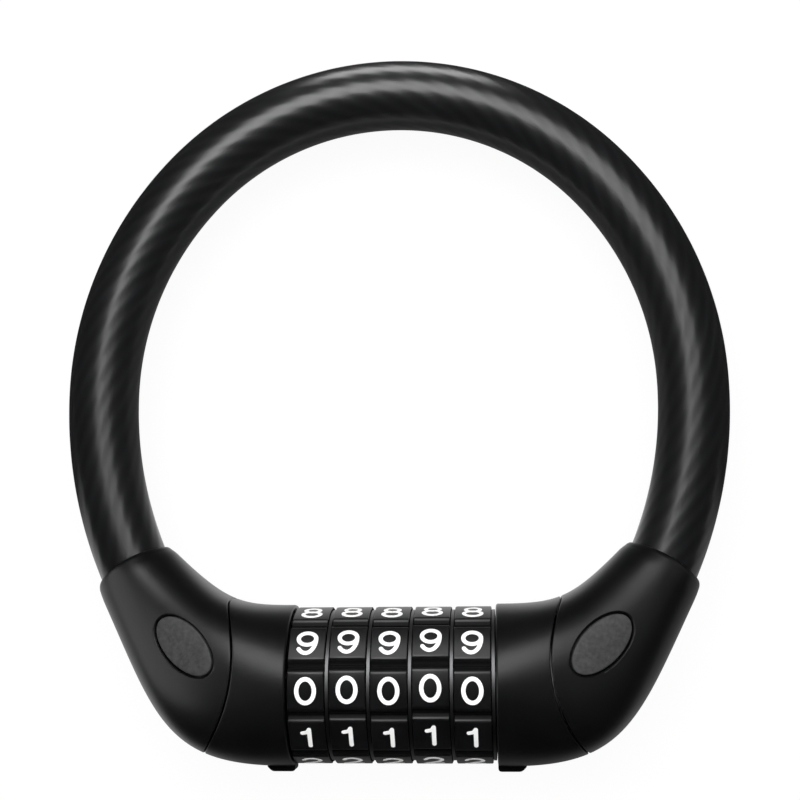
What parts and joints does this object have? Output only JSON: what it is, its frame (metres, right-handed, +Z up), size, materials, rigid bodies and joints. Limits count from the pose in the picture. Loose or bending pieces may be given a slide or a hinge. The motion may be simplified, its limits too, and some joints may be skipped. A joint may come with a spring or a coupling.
{
  "type": "combination cable lock",
  "caption": "Ring-shaped cable lock: a short sheathed steel cable bows from a dial housing to a pull-out bolt end; number dials on a core tube hold the bolt.",
  "frame": {"origin": "centre of the underside of the box of the whole lock, lying on the backs of its housings", "axes": "+X along the dial axis towards the bolt end, +Y from the dials to the top of the cable ring, +Z up, out of the side that carries the oval badges"},
  "size_m": [0.116, 0.1248, 0.0272],
  "materials": {
    "housing_plastic": "satin moulded black",
    "badge_plastic": "satin moulded black, bare",
    "sheath_pvc": "smoky black, slightly clear, with the rope showing through",
    "rope_steel": "stranded wire",
    "dial_gloss": "gloss black",
    "number_paint": "white filled numbers",
    "code_brass": "turned",
    "spacer_steel": "polished",
    "tube_steel": "ground",
    "bolt_steel": "ground",
    "spring_steel": "rolled",
    "pin_steel": "plain",
    "ferrule_steel": "crimped",
    "anchor_zinc": "die-cast zinc alloy"
  },
  "bodies": {
    "left_housing": {"cable_sheath": "sheath_pvc", "cable_rope": "rope_steel", "left_elbow": "housing_plastic", "left_collar": "housing_plastic", "left_badge": "badge_plastic", "left_anchor": "anchor_zinc", "left_ferrule": "ferrule_steel", "left_ferrule_pin": "pin_steel", "core_tube": "tube_steel", "core_tube_pin": "pin_steel", "detent_spring": "spring_steel", "spacer_washers": "spacer_steel", "retaining_clip": "spring_steel"},
    "dial_1": {"dial_1": "dial_gloss", "code_ring_1": "code_brass"},
    "dial_2": {"dial_2": "dial_gloss", "code_ring_2": "code_brass"},
    "dial_3": {"dial_3": "dial_gloss", "code_ring_3": "code_brass"},
    "dial_4": {"dial_4": "dial_gloss", "code_ring_4": "code_brass"},
    "dial_5": {"dial_5": "dial_gloss", "code_ring_5": "code_brass"},
    "bolt_end": {"locking_bolt": "bolt_steel", "bolt_pin": "pin_steel", "right_elbow": "housing_plastic", "right_collar": "housing_plastic", "right_badge": "badge_plastic", "right_anchor": "anchor_zinc", "right_ferrule": "ferrule_steel", "right_ferrule_pin": "pin_steel"}
  },
  "joints": [
    {"name": "dial_1_turn", "type": "hinge", "parent": "left_housing", "child": "dial_1", "pos_m": [-0.01391, -0.048, 0.0136], "axis": [1, 0, 0], "continuous": true, "deforming": ["detent_spring"]},
    {"name": "dial_2_turn", "type": "hinge", "parent": "left_housing", "child": "dial_2", "pos_m": [-0.00708, -0.048, 0.0136], "axis": [1, 0, 0], "continuous": true, "deforming": ["detent_spring"]},
    {"name": "dial_3_turn", "type": "hinge", "parent": "left_housing", "child": "dial_3", "pos_m": [-0.00025, -0.048, 0.0136], "axis": [1, 0, 0], "continuous": true, "deforming": ["detent_spring"]},
    {"name": "dial_4_turn", "type": "hinge", "parent": "left_housing", "child": "dial_4", "pos_m": [0.00658, -0.048, 0.0136], "axis": [1, 0, 0], "continuous": true, "deforming": ["detent_spring"]},
    {"name": "dial_5_turn", "type": "hinge", "parent": "left_housing", "child": "dial_5", "pos_m": [0.01341, -0.048, 0.0136], "axis": [1, 0, 0], "continuous": true, "deforming": ["detent_spring"]},
    {"name": "bolt_pull", "type": "slide", "parent": "left_housing", "child": "bolt_end", "axis": [1, 0, 0], "range_m": [0, 0.038], "deforming": ["cable_sheath", "cable_rope"]}
  ]
}
